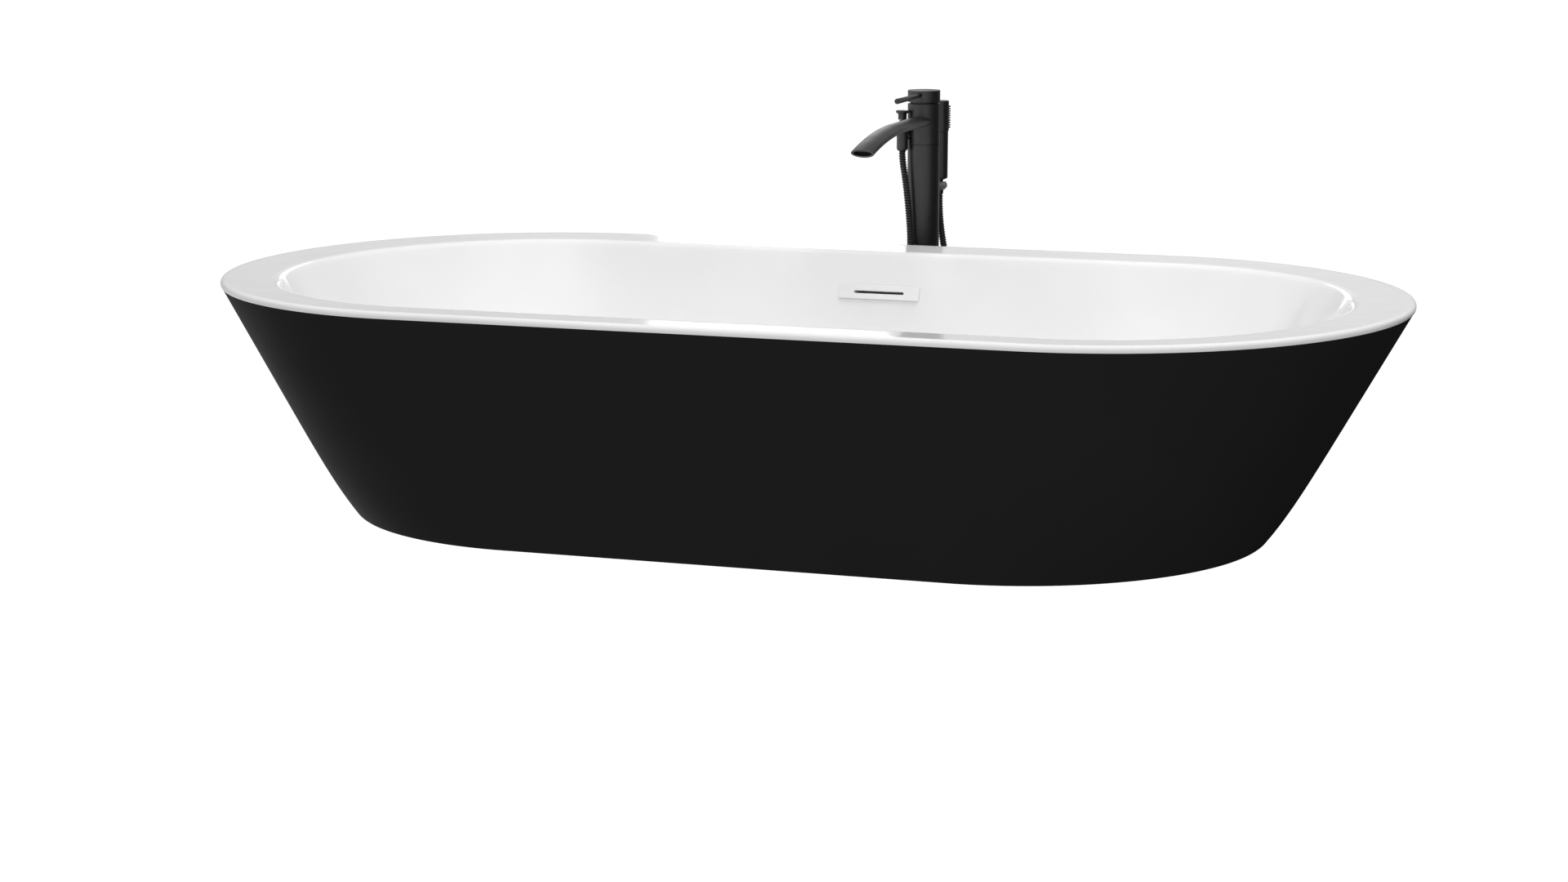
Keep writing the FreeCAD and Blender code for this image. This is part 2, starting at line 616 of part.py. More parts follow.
def make_column():
    plate = cyl(FLOOR_PLATE_R, 0, FLOOR_PLATE_H)
    plate = plate.fuse(ring(FLOOR_SOCKET_R, FLOOR_SOCKET_BORE_R, FLOOR_PLATE_H, FLOOR_SOCKET_Z))
    plate = plate.cut(cyl(FLOOR_SOCKET_BORE_R - 2, -1, FLOOR_PLATE_H + 2))
    for k in range(4):
        spot = polar(FLOOR_BOLT_CIRCLE_R, 45 + 90 * k)
        plate = plate.cut(cyl(FLOOR_BOLT_R, -1, FLOOR_PLATE_H + 1, spot))
    save_at_column("floor_plate", plate)
    cover = turned([(COLUMN_R + 0.3, COVER_H - 2.5), (COLUMN_R + 0.3, COVER_H), (COVER_R - 4.5, COVER_H),
                    (COVER_R - 1, 12.5), (COVER_R, 8), (COVER_R, 0.3), (COVER_R - 2.2, 0.3),
                    (COVER_R - 2.2, 9), (COVER_R - 4.5, 12.6), (COVER_R - 6.5, COVER_H - 2.5)])
    save_at_column("base_cover", cover)
    tube = ring(COLUMN_R, COLUMN_R - COLUMN_WALL, FLOOR_PLATE_H, BODY_Z[0] - COLUMN_SEAM)
    tube = tube.cut(radial_rod(CRADLE_SCREW_R + 0.6, CRADLE_Z, HANDSET_ANGLE, 20, 40))
    save_at_column("column_tube", tube)
    for name, x in (("supply_pipe_hot", -SUPPLY_X), ("supply_pipe_cold", SUPPLY_X)):
        save_at_column(name, ring(SUPPLY_R, SUPPLY_BORE_R, 0.5, SUPPLY_TOP_Z, (x, 0)))


def make_valve_body():
    z0, z1 = BODY_Z
    body = cyl(BODY_R, z0, z1).fuse(cyl(BODY_SPIGOT_R, z0 - BODY_SPIGOT, z0))
    body = body.cut(cyl(BODY_NUT_R, CARTRIDGE_Z[1], z1 + 5))
    body = body.cut(cyl(CARTRIDGE_R + 0.1, CARTRIDGE_Z[0] - 0.2, CARTRIDGE_Z[1] + 2))
    for x in (-SUPPLY_X, SUPPLY_X):
        body = body.cut(cyl(SUPPLY_R, 540, SUPPLY_TOP_Z, (x, 0)))
        body = body.cut(cyl(4.0, SUPPLY_TOP_Z - 2, 590, (x, 0)))
    body = body.cut(radial_rod(NIPPLE_R + 0.1, SPOUT_Z, -90, 15, 40))
    body = body.cut(radial_rod(DIVERTER_NIPPLE_R + 0.1, DIVERTER_ARM_Z, DIVERTER_ANGLE, 18.5, 40))
    body = body.cut(radial_rod(3.0, 580, DIVERTER_ANGLE, 8, 20))
    body = body.cut(cyl(3.0, DIVERTER_ARM_Z, 590, polar(9, DIVERTER_ANGLE)))
    save_at_column("valve_body", body)


# ---------------------------------------------------------------- mixer
def mixer_carrier():
    z0, z1, z2 = CARRIER_Z
    carrier = cyl(CARRIER_R, z0, z1 + 0.1).fuse(cyl(CARRIER_FLANGE_R, z1, z2))
    for side in (-1, 1):
        carrier = carrier.fuse(box_at(FORK, (side * FORK_X, 0, z2 - 0.05 + FORK[2] / 2)))
    return carrier.cut(rod(TILT_PIN_R, V(-12, 0, TILT_AXIS_Z), V(12, 0, TILT_AXIS_Z)))


def mixer_cap():
    cap = cyl(BODY_R, *CAP_Z)
    cap = cap.makeChamfer(0.5, [e for e in cap.Edges if e.Curve.TypeId == "Part::GeomCircle"])
    cap = cap.cut(cyl(CAP_BORE_R, CAP_Z[0] - 1, CAP_CEILING_Z))
    cap = cap.fuse(box_at(CAP_LUG, (0, 0, CAP_CEILING_Z + 0.1 - CAP_LUG[2] / 2)))
    cap = cap.cut(rod(TILT_PIN_R + 0.05, V(-5, 0, TILT_AXIS_Z), V(5, 0, TILT_AXIS_Z)))
    cap = cap.cut(front_rod(LEVER_THREAD_R, LEVER_Z, -14, -40))
    cap = cap.cut(front_rod(LEVER_RECESS_R, LEVER_Z, -27, -40))
    return cap.cut(front_rod(GRUB_R, LEVER_Z, 20, 40))


def mixer_lever():
    reach = BODY_R + LEVER_LENGTH
    neck = LEVER_ROOT_R - 0.5
    lever = turned([(0, 14), (LEVER_THREAD_R, 14), (LEVER_THREAD_R, 24), (neck, 24.5), (neck, 34),
                    (LEVER_ROOT_R, 36), (LEVER_R - 0.4, LEVER_TAPER_END), (LEVER_R, reach - 0.8),
                    (LEVER_R - 0.8, reach), (0, reach)])
    lever.rotate(V(0, 0, 0), X_AXIS, 90)
    lever.translate(V(0, 0, LEVER_Z))
    return lever


def make_mixer():
    z0, z1, z2 = CARTRIDGE_Z
    cartridge = cyl(CARTRIDGE_R, z0, z1).fuse(cyl(CARTRIDGE_NECK_R, z1, z2))
    cartridge = cartridge.cut(cyl(CARRIER_R + 0.1, CARRIER_Z[0] - 0.5, z2 + 5))
    save_at_column("mixer_cartridge", cartridge)
    save_at_column("bonnet_nut", ring(BODY_NUT_R - 0.1, CARTRIDGE_NECK_R + 0.2, z1 + 0.2, z1 + 20))
    save_at_column("bonnet_seal", ring(BODY_NUT_R + 1.4, BODY_NUT_R - 0.05, BODY_Z[1] + 0.1, BODY_Z[1] + 1.7))
    save_at_column("mixer_carrier", mixer_carrier())
    save_at_column("tilt_pin", rod(TILT_PIN_R, V(-9, 0, TILT_AXIS_Z), V(9, 0, TILT_AXIS_Z)))
    save_at_column("mixer_cap", mixer_cap())
    save_at_column("cap_grub_screw", front_rod(GRUB_R, LEVER_Z, 20, 28.6))
    save_at_column("mixer_lever", mixer_lever())


# ---------------------------------------------------------------- spout
def spout_path(start, extra_degrees=0.0):
    """From the column forwards, level, then bending gently down."""
    bend = math.radians(SPOUT_BEND_DEG + extra_degrees)
    level = Part.makeLine(V(0, -start, SPOUT_Z), on_bend(0.0))
    return Part.Wire([level, Part.Arc(on_bend(0.0), on_bend(bend / 2), on_bend(bend)).toShape()])


def on_bend(angle):
    return V(0, -SPOUT_STRAIGHT - SPOUT_BEND_R * math.sin(angle),
             SPOUT_Z - SPOUT_BEND_R * (1 - math.cos(angle)))


def flat_oval(half_width, half_height, y, z):
    def corner(x, up):
        return V(x * half_width, y, z + up * half_height)

    quads = [((1, 0), (1, 1), (0, 1)), ((0, 1), (-1, 1), (-1, 0)),
             ((-1, 0), (-1, -1), (0, -1)), ((0, -1), (1, -1), (1, 0))]
    return Part.Wire([quarter(corner(*a), corner(*b), corner(*c)) for a, b, c in quads])


def at_mouth(shape, degrees):
    """Turns a shape drawn at the origin to the spout's mouth."""
    shape.rotate(V(0, 0, 0), X_AXIS, degrees)
    shape.translate(on_bend(math.radians(SPOUT_BEND_DEG)))
    return shape


def make_spout():
    cut_angle = SPOUT_BEND_DEG + SPOUT_CUT_DEG
    outside = spout_path(10, 1.5).makePipeShell([flat_oval(*SPOUT_SECTION, -10, SPOUT_Z)], True, False)
    bore = spout_path(48, 3.0).makePipeShell([flat_oval(*SPOUT_BORE, -48, SPOUT_Z)], True, False)
    beyond = at_mouth(Part.makeBox(100, 100, 100, V(-50, -100, -50)), cut_angle)
    spout = outside.cut(cyl(BODY_R, 500, 700)).cut(bore).cut(beyond)
    nipple = front_rod(NIPPLE_R, SPOUT_Z, -NIPPLE_START, -NIPPLE_END)
    nipple = nipple.cut(front_rod(NIPPLE_BORE_R, SPOUT_Z, -10, -60))
    spout = spout.cut(front_rod(NIPPLE_R, SPOUT_Z, -19, -NIPPLE_END)).fuse(nipple)
    save_at_column("spout", spout)
    set_back, thick = AERATOR_DEPTHS
    aerator = bore.common(at_mouth(Part.makeBox(100, thick, 100, V(-50, set_back, -50)), cut_angle))
    for k in range(-4, 5):
        hole = rod(AERATOR_HOLE_R, V(AERATOR_PITCH * k, 30, 0), V(AERATOR_PITCH * k, -10, 0))
        aerator = aerator.cut(at_mouth(hole, SPOUT_BEND_DEG))
    save_at_column("aerator", aerator)


# ---------------------------------------------------------------- diverter
def diverter_body():
    z0, z1 = DIVERTER_Z
    at, r = DIVERTER_AT, DIVERTER_R
    far = math.hypot(*at)
    body = turned([(0, z0), (r - 3, z0), (r, z0 + 3), (r, z1 - 1), (r - 1, z1), (DIVERTER_COLLAR_R, z1),
                   (DIVERTER_COLLAR_R, DIVERTER_COLLAR_Z), (0, DIVERTER_COLLAR_Z)], at)
    body = body.fuse(radial_rod(DIVERTER_ARM_R, DIVERTER_ARM_Z, DIVERTER_ANGLE, BODY_R + 0.7, far))
    body = body.cut(cyl(BODY_R + 0.1, 500, 700))
    body = body.fuse(radial_rod(DIVERTER_NIPPLE_R, DIVERTER_ARM_Z, DIVERTER_ANGLE, 21, far))
    body = body.cut(cyl(DIVERTER_CHAMBER_R, z0 + 12, z1 - 6, at))
    body = body.cut(cyl(DIVERTER_OUTLET_R, z0 - 1, z1, at))
    body = body.cut(cyl(DIVERTER_STEM_R + 0.1, z1 - 8, DIVERTER_COLLAR_Z + 5, at))
    return body.cut(radial_rod(DIVERTER_ARM_BORE_R, DIVERTER_ARM_Z, DIVERTER_ANGLE, 10, far - 6))


def diverter_knob():
    r = DIVERTER_KNOB_R
    foot = DIVERTER_COLLAR_Z + 1.2
    knob = turned([(0, foot), (7.6, foot), (7.9, foot + 0.8), (7.9, foot + 8.8), (8.6, foot + 11.2),
                   (r - 0.5, foot + 12.4), (r, foot + 13.0), (r, foot + 16.0), (r - 0.7, foot + 16.8),
                   (8, foot + 16.4), (0, foot + 16.0)], DIVERTER_AT)
    return knob.cut(cyl(DIVERTER_STEM_R, 600, DIVERTER_STEM_TOP_Z, DIVERTER_AT))


def make_diverter():
    at = DIVERTER_AT
    z0 = DIVERTER_Z[0]
    plunger_z = z0 + 16
    save_at_column("diverter_body", diverter_body())
    save_at_column("diverter_knob", diverter_knob())
    save_at_column("diverter_stem", cyl(DIVERTER_STEM_R, plunger_z, DIVERTER_STEM_TOP_Z, at))
    plunger = ring(DIVERTER_PLUNGER_R, DIVERTER_STEM_R, plunger_z, plunger_z + DIVERTER_PLUNGER_H, at)
    save_at_column("diverter_plunger", plunger)
    save_at_column("hose_top_nut", ring(DIVERTER_OUTLET_R, 3.2, z0, z0 + 9, at))


# ---------------------------------------------------------------- hand shower
def handset_handle():
    z0, seam, _ = HANDSET_Z
    r = HANDLE_R
    handle = turned([(0, z0 - 1), (8.5, z0 - 1), (r - 0.8, z0 + 1.6), (r - 0.4, z0 + 4), (r, seam - 1),
                     (SPIGOT_R, seam - 1), (SPIGOT_R, seam + SPIGOT_H), (0, seam + SPIGOT_H)], HANDSET_AT)
    handle = handle.cut(cyl(HANDLE_BORE_R, z0 + 14, seam + 10, HANDSET_AT))
    return handle.cut(cyl(CONE_THREAD_R, z0 - 3, z0 + 15, HANDSET_AT))


def spray_head():
    _, seam, z1 = HANDSET_Z
    r = HEAD_R
    head = turned([(0, seam - 0.2), (r - 0.6, seam - 0.2), (r, seam + 0.4), (r, z1 - 1), (r - 1, z1),
                   (0, z1)], HANDSET_AT)
    return head.cut(cyl(HEAD_BORE_R, seam - 1, z1 - 4, HANDSET_AT))


def spray_nubs():
    nubs = []
    for row in NUB_ROWS_DEG:
        inner = polar(HEAD_R - NUB_IN, row, HANDSET_AT)
        outer = polar(HEAD_R + NUB_OUT, row, HANDSET_AT)
        for k in range(NUB_COUNT):
            z = NUB_FIRST_Z + NUB_PITCH * k
            nubs.append(rod(NUB_R, V(inner[0], inner[1], z), V(outer[0], outer[1], z)))
    return nubs


def handset_cone_nut():
    foot, shoulder, neck = CONE_Z
    z0 = HANDSET_Z[0]
    return turned([(CONE_BORE_R, foot), (CONE_R[0], foot), (CONE_R[1], shoulder), (CONE_R[2], neck),
                   (CONE_R[2], z0 - 1), (CONE_THREAD_R, z0 - 1), (CONE_THREAD_R, z0 + 9),
                   (CONE_BORE_R, z0 + 9)], HANDSET_AT)


def make_handset():
    z0, seam, _ = HANDSET_Z
    nubs = spray_nubs()
    head = spray_head()
    for nub in nubs:
        head = head.cut(nub)
    seal_z = seam + SPIGOT_H + 0.1
    save_at_column("handset_handle", handset_handle())
    save_at_column("spray_head", head)
    save_at_column("spray_nubs", group([nub.makeFillet(0.5, [nub.Edges[0]]) for nub in nubs]))
    save_at_column("head_seal", ring(HEAD_BORE_R - 0.02, 11.5, seal_z, seal_z + 1.0, HANDSET_AT))
    save_at_column("handset_cone_nut", handset_cone_nut())
    save_at_column("hose_washer", ring(CONE_THREAD_R - 0.05, 3.0, z0 + 9.1, z0 + 11.1, HANDSET_AT))


def make_cradle():
    far = math.hypot(*HANDSET_AT)
    z = CRADLE_Z
    cup = turned([(0, z - 7.7), (9.8, z - 7.7), (13.4, z - 3.7), (14.6, z), (13.6, z + 3.7),
                  (11.3, z + 7.1), (0, z + 7.1)], HANDSET_AT)
    cup = cup.fuse(radial_rod(CRADLE_ARM_R, z, HANDSET_ANGLE, COLUMN_R - 1, far))
    cup = cup.cut(cyl(COLUMN_R + 0.05, 400, 520))
    cup = cup.cut(turned([(0, 466), (7.4, 466), (9.3, 488), (0, 488)], HANDSET_AT))
    slot = box_at((30, CRADLE_SLOT, 40), (far + 15, 0, z))
    slot.rotate(V(0, 0, 0), Z_AXIS, HANDSET_ANGLE)
    cup = cup.cut(slot).cut(radial_rod(CRADLE_SCREW_R, z, HANDSET_ANGLE, 10, far - 10.2))
    save_at_column("handset_cradle", cup)
    screw = radial_rod(CRADLE_SCREW_R, z, HANDSET_ANGLE, 24.5, far - 10.4)
    save_at_column("cradle_screw", screw.fuse(radial_rod(CRADLE_SCREW_HEAD_R, z, HANDSET_ANGLE, 22, 26.0)))


def make_hose():
    path, radii = bent_path(HOSE_ROUTE, lambda run, turn: 0.45 * run / math.tan(turn / 2))
    hose = along(path, HOSE_R)
    expected = math.pi * HOSE_R ** 2 * path.Length
    print("hose length", round(path.Length, 1), "volume ratio", round(hose.Volume / expected, 4))
    print("hose radii in diameters", [round(r / HOSE_R / 2, 1) for r in radii])
    save("shower_hose", hose)


make_tub()
make_frame()
make_overflow()
make_drain()
make_column()
make_valve_body()
make_mixer()
make_spout()
make_diverter()
make_handset()
make_cradle()
make_hose()
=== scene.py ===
import math

import bpy
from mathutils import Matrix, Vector


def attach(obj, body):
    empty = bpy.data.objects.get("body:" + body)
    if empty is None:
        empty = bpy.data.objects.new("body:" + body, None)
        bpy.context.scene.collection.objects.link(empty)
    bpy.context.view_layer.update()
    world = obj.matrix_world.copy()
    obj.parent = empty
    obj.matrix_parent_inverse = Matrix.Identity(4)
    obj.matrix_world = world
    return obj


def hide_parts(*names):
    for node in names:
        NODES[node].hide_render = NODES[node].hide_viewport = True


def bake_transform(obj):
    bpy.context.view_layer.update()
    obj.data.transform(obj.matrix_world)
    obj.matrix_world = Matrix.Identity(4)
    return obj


# A freestanding oval bathtub and its floor-standing filler, in metres, +Z up.
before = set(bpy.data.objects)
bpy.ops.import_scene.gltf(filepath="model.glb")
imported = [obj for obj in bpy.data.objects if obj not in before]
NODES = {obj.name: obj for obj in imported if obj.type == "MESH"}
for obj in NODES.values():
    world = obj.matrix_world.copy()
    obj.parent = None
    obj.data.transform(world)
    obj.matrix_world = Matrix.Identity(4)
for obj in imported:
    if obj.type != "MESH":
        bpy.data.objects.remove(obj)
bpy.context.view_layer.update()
ROOT, HANDSET = "tub_and_filler", "handset"

# ---------------------------------------------------------------- camera
CAMERA_AT = (1.7198, -5.1823, 1.1241)
CAMERA_DOWN_DEG = 10.36
CAMERA_TURN_DEG = 18.70
CAMERA_LENS = 76.46                    # in millimetres, as the sensor's width is
SENSOR_WIDTH = 36.0
VIEW_DEPTH = 200.0

camera_data = bpy.data.cameras.new("camera")
camera_data.sensor_width = SENSOR_WIDTH
camera_data.lens = CAMERA_LENS
camera_data.clip_end = VIEW_DEPTH
camera = bpy.data.objects.new("camera", camera_data)
camera.location = CAMERA_AT
camera.rotation_euler = (math.radians(90 - CAMERA_DOWN_DEG), 0, math.radians(CAMERA_TURN_DEG))
bpy.context.scene.collection.objects.link(camera)
bpy.context.scene.camera = camera
bpy.context.scene.view_settings.view_transform = "Standard"

# ---------------------------------------------------------------- the hose's route
HOSE_DIAMETER = 0.0126
HOSE_ROUTE = [
    (-0.033, 0.673, 0.549),
    (-0.033, 0.673, 0.534),
    (-0.026, 0.669, 0.501),
    (-0.0185, 0.6652, 0.450),
    (-0.013, 0.6628, 0.392),
    (-0.0085, 0.656, 0.330),
    (-0.016, 0.644, 0.258),
    (-0.031, 0.634, 0.184),
    (-0.045, 0.6285, 0.116),
    (-0.030, 0.634, 0.075),
    (0.0045, 0.6465, 0.050),
    (0.046, 0.661, 0.0505),
    (0.080, 0.6735, 0.075),
    (0.095, 0.680, 0.116),
    (0.082, 0.692, 0.190),
    (0.061, 0.7065, 0.262),
    (0.041, 0.7225, 0.330),
    (0.025, 0.7385, 0.390),
    (0.018, 0.745, 0.434),
    (0.018, 0.745, 0.466),
]


# ---------------------------------------------------------------- mesh helpers
def new_object(name, verts, faces, sharp_deg=40.0):
    mesh = bpy.data.meshes.new(name)
    mesh.from_pydata([tuple(v) for v in verts], [], faces)
    mesh.update()
    mesh.shade_smooth()
    mesh.set_sharp_from_angle(angle=math.radians(sharp_deg))
    obj = bpy.data.objects.new(name, mesh)
    bpy.context.scene.collection.objects.link(obj)
    return obj


def ring_faces(rings, around, closed_loop=False, skip=()):
    """Quads between rings of points; closed_loop joins the last ring to the first."""
    faces = []
    for j in range(rings if closed_loop else rings - 1):
        low, high = j * around, (j + 1) % rings * around
        for i in range(around):
            if (j, i) not in skip:
                k = (i + 1) % around
                faces.append((low + i, low + k, high + k, high + i))
    return faces


def grow(shape, by):
    return tuple(size + by for size in shape)


def mix(first, second, share):
    return tuple(a + (b - a) * share for a, b in zip(first, second))


def mix_points(first, second, share):
    return [a.lerp(b, share) for a, b in zip(first, second)]


def lifted(points, z):
    return [Vector((p.x, p.y, z)) for p in points]


# ---------------------------------------------------------------- tub shape
# An oval is a half length, a half width and the length of each elliptical end.
TUB_HEIGHT = 0.393
RIM_OVAL = (1.000, 0.544, 0.500)
BASE_OVAL = (0.786, 0.434, 0.421)
MOUTH_OVAL = (0.897, 0.450, 0.385)
FLOOR_OVAL = (0.500, 0.206, 0.196)
QUARTER_STEPS = 40                     # steps round half of each elliptical end
SIDE_STEPS = 16                        # steps along each straight side
WINDOW_SHARES = (0.4514, 0.5486)       # the overflow window's ends, as shares of the straight side
SIDE_SHARES = sorted([k / SIDE_STEPS for k in range(SIDE_STEPS)] + list(WINDOW_SHARES))

# The basin: its lip, deck, mouth, wall and floor.
RIM_ROUND = 0.007
RIM_STEPS = 10
LIP_Z = TUB_HEIGHT - 0.011
# How far in and up each ring of the lip's lower corner lies.
LIP_EASING = ((0.0010, 0.0), (0.0006, 0.0006), (0.0003, 0.002))
EDGE_Z = TUB_HEIGHT - 0.0034           # where the deck would meet the wall in a sharp corner
WALL_TOP_Z = EDGE_Z - 0.012
MOUTH_REACH = 0.009                    # how far the mouth's rounding runs along deck and wall
DECK_STEPS = 8
MOUTH_STEPS = 12
WALL_SHARE = 0.42                      # how much of the wall's lean is straight
WALL_POWER = 3.0                       # how tightly the rest curves into the floor
WALL_STEPS = 56
FLOOR_Z = 0.088
FLOOR_STEPS = 6
BASIN_WALL = 0.006
UNDER_Z = FLOOR_Z - BASIN_WALL
UNDER_STEPS = 3
MOUTH_BACK = 0.012                     # how far the mouth's back lies outside the mouth
DECK_BACK_DROP = 0.007                 # how far the deck's back lies below the deck, at the rim
DRAIN_AT = Vector((0.0, 0.092, 0.0))
DRAIN_HOLE_R = 0.025
WINDOW_DEPTHS = (0.183, 0.225)         # the overflow window's top and bottom, as shares of the wall's depth
FIRST_GAP = 0.01                       # the least depth between the mouth and the wall's first ring
WINDOW_GAP = 0.008                     # and between the window and the ring next to it
BACK_END = 0.999                       # the back's rings stop short of the floor's ring

WALL_RUN = WALL_TOP_Z - FLOOR_Z
CORNER_DEPTH = (WALL_TOP_Z - EDGE_Z) / WALL_RUN
WALL_START_DEPTH = (WALL_TOP_Z - EDGE_Z + MOUTH_REACH) / WALL_RUN

# The skirt.
SKIRT_WALL = 0.005
SKIRT_INSET = 0.0015
SKIRT_FOOT = 0.028                     # how far the foot's flange reaches inwards
SKIRT_FOOT_ROUND = 0.0025
SKIRT_EDGE_Z, SKIRT_EDGE_IN = 0.0006, 0.0008
SKIRT_TUCK = 0.0116                    # the skirt curves in by this much more at the floor
SKIRT_TUCK_Z = 0.275                   # and starts to at this height
SKIRT_TUCK_POWER = 6
SKIRT_STEPS = 40
SKIRT_CROWDING = 1.5                   # above 1, the rings crowd towards the floor
SKIRT_BACK_STEPS = 16


def oval(shape, z):
    """Points round an oval: two straight sides and two half ellipses, anticlockwise."""
    a, b, end = shape
    s = a - end
    points = [Vector((s * (2 * u - 1), -b, z)) for u in SIDE_SHARES]
    for k in range(2 * QUARTER_STEPS):
        t = math.pi * (k / (2 * QUARTER_STEPS) - 0.5)
        points.append(Vector((s + end * math.cos(t), b * math.sin(t), z)))
    points += [Vector((-p.x, -p.y, z)) for p in points]
    return points


AROUND = len(oval(RIM_OVAL, 0.0))


def wall(depth, offset=0.0, floor_z=FLOOR_Z):
    """The ring of the basin's wall at a share of its depth, moved outwards by offset."""
    turn = 1 - (1 - max(depth, 0.0) ** WALL_POWER) ** (1 / WALL_POWER)
    inward = WALL_SHARE * depth + (1 - WALL_SHARE) * turn
    z = WALL_TOP_Z - (WALL_TOP_Z - floor_z) * depth
    return oval(grow(mix(MOUTH_OVAL, FLOOR_OVAL, inward), offset), z)


def rim_rings():
    """The lip's lower corner, and the round edge that leads up to the deck."""
    rings = [oval(grow(RIM_OVAL, -inset), LIP_Z + rise) for inset, rise in LIP_EASING]
    for k in range(RIM_STEPS + 1):
        angle = math.pi / 2 * k / RIM_STEPS
        pull = RIM_ROUND * (1 - math.cos(angle))
        rings.append(oval(grow(RIM_OVAL, -pull), TUB_HEIGHT - RIM_ROUND * (1 - math.sin(angle))))
    return rings


def deck_rings(rim):
    """The deck, and the mouth's rounding from deck to wall."""
    corner, wall_start = wall(CORNER_DEPTH), wall(WALL_START_DEPTH)
    deck_end = []
    for outer, inner in zip(rim, corner):
        deck_end.append(inner + (outer - inner).normalized() * MOUTH_REACH)
    rings = [mix_points(rim, deck_end, k / DECK_STEPS) for k in range(1, DECK_STEPS)]
    for k in range(MOUTH_STEPS + 1):
        u = k / MOUTH_STEPS
        first = mix_points(deck_end, corner, u)
        second = mix_points(corner, wall_start, u)
        rings.append(mix_points(first, second, u))
    return rings


def wall_depths():
    """The depths of the wall's rings, closer together near the floor, and the window's own two."""
    depths = [math.sin(math.pi / 2 * k / WALL_STEPS) for k in range(1, WALL_STEPS + 1)]
    depths = [d for d in depths if d > WALL_START_DEPTH + FIRST_GAP]
    depths = [d for d in depths if min(abs(d - w) for w in WINDOW_DEPTHS) > WINDOW_GAP]
    return sorted(depths + list(WINDOW_DEPTHS))


def floor_rings():
    """The basin's floor in to the drain's hole, down through it, and out along the underside."""
    edge = oval(FLOOR_OVAL, 0.0)
    hole = [DRAIN_AT + (p - DRAIN_AT).normalized() * DRAIN_HOLE_R for p in edge]
    top_edge, top_hole = lifted(edge, FLOOR_Z), lifted(hole, FLOOR_Z)
    rings = [mix_points(top_edge, top_hole, k / FLOOR_STEPS) for k in range(1, FLOOR_STEPS + 1)]
    under_hole, under_edge = lifted(hole, UNDER_Z), wall(1.0, BASIN_WALL, UNDER_Z)
    rings.append(under_hole)
    rings += [mix_points(under_hole, under_edge, k / UNDER_STEPS) for k in range(1, UNDER_STEPS + 1)]
    return rings


def window_loop(top, bottom, first, last):
    """The points round the window, between two rings and two columns."""
    step = 1 if bottom > top else -1
    path = [(top, i) for i in range(first, last)]
    path += [(j, last) for j in range(top, bottom, step)]
    path += [(bottom, i) for i in range(last, first, -1)]
    path += [(j, first) for j in range(bottom, top, -step)]
    return [j * AROUND + i for j, i in path]


def basin():
    rings = rim_rings()
    rings += deck_rings(rings[-1])
    depths = wall_depths()
    wall_first = len(rings)
    rings += [wall(d) for d in depths]
    rings += floor_rings()
    back_first = len(rings)
    back_depths = [d for d in reversed(depths) if d < BACK_END]
    rings += [wall(d, BASIN_WALL, UNDER_Z) for d in back_depths]
    rings.append(oval(grow(MOUTH_OVAL, MOUTH_BACK), EDGE_Z - BASIN_WALL))
    rings.append(oval(grow(RIM_OVAL, -BASIN_WALL), TUB_HEIGHT - DECK_BACK_DROP))
    rings.append(oval(grow(RIM_OVAL, -BASIN_WALL), LIP_Z))

    # The overflow's window, cut through the wall on the filler's side and lined.
    top, bottom = WINDOW_DEPTHS
    front_top, front_bottom = wall_first + depths.index(top), wall_first + depths.index(bottom)
    back_top, back_bottom = back_first + back_depths.index(top), back_first + back_depths.index(bottom)
    first, last = (AROUND // 2 + SIDE_SHARES.index(share) for share in WINDOW_SHARES)
    skip = {(j, i) for j in range(front_top, front_bottom) for i in range(first, last)}
    skip |= {(j, i) for j in range(back_bottom, back_top) for i in range(first, last)}
    faces = ring_faces(len(rings), AROUND, True, skip)
    inside = window_loop(front_top, front_bottom, first, last)
    outside = window_loop(back_top, back_bottom, first, last)
    for k in range(len(inside)):
        n = (k + 1) % len(inside)
        faces.append((inside[k], outside[k], outside[n], inside[n]))
    return new_object("basin", [p for ring in rings for p in ring], faces)


def skirt():
    top = grow(RIM_OVAL, -SKIRT_INSET)

    def outline(z, inset=0.0):
        tuck = SKIRT_TUCK * max(0.0, 1 - z / SKIRT_TUCK_Z) ** SKIRT_TUCK_POWER
        return oval(grow(mix(BASE_OVAL, top, z / LIP_Z), -inset - tuck), z)

    rise = LIP_Z - SKIRT_FOOT_ROUND
    fall = SKIRT_WALL - LIP_Z
    flange = grow(BASE_OVAL, -(SKIRT_TUCK + SKIRT_FOOT))
    rings = [outline(0.0, SKIRT_FOOT_ROUND), outline(SKIRT_EDGE_Z, SKIRT_EDGE_IN), outline(SKIRT_FOOT_ROUND)]
    for k in range(1, SKIRT_STEPS + 1):
        rings.append(outline(SKIRT_FOOT_ROUND + rise * (k / SKIRT_STEPS) ** SKIRT_CROWDING))
    rings.append(outline(LIP_Z, SKIRT_WALL))
    for k in range(1, SKIRT_BACK_STEPS + 1):
        rings.append(outline(LIP_Z + fall * k / SKIRT_BACK_STEPS, SKIRT_WALL))
    rings += [oval(flange, SKIRT_WALL), oval(flange, 0.0)]
    return new_object("skirt", [p for ring in rings for p in ring], ring_faces(len(rings), AROUND, True))


# ---------------------------------------------------------------- hose
ROUTE_STEPS = 48                       # points per stretch of the route's spline
RIB_PITCH = 0.0048
RIB_DEPTH = 0.0017
GROOVE_POWER = 3                       # above 1, the groove between ribs is narrower than the rib
RINGS_PER_RIB = 10
HOSE_SIDES = 28
HOSE_SHARP_DEG = 60.0


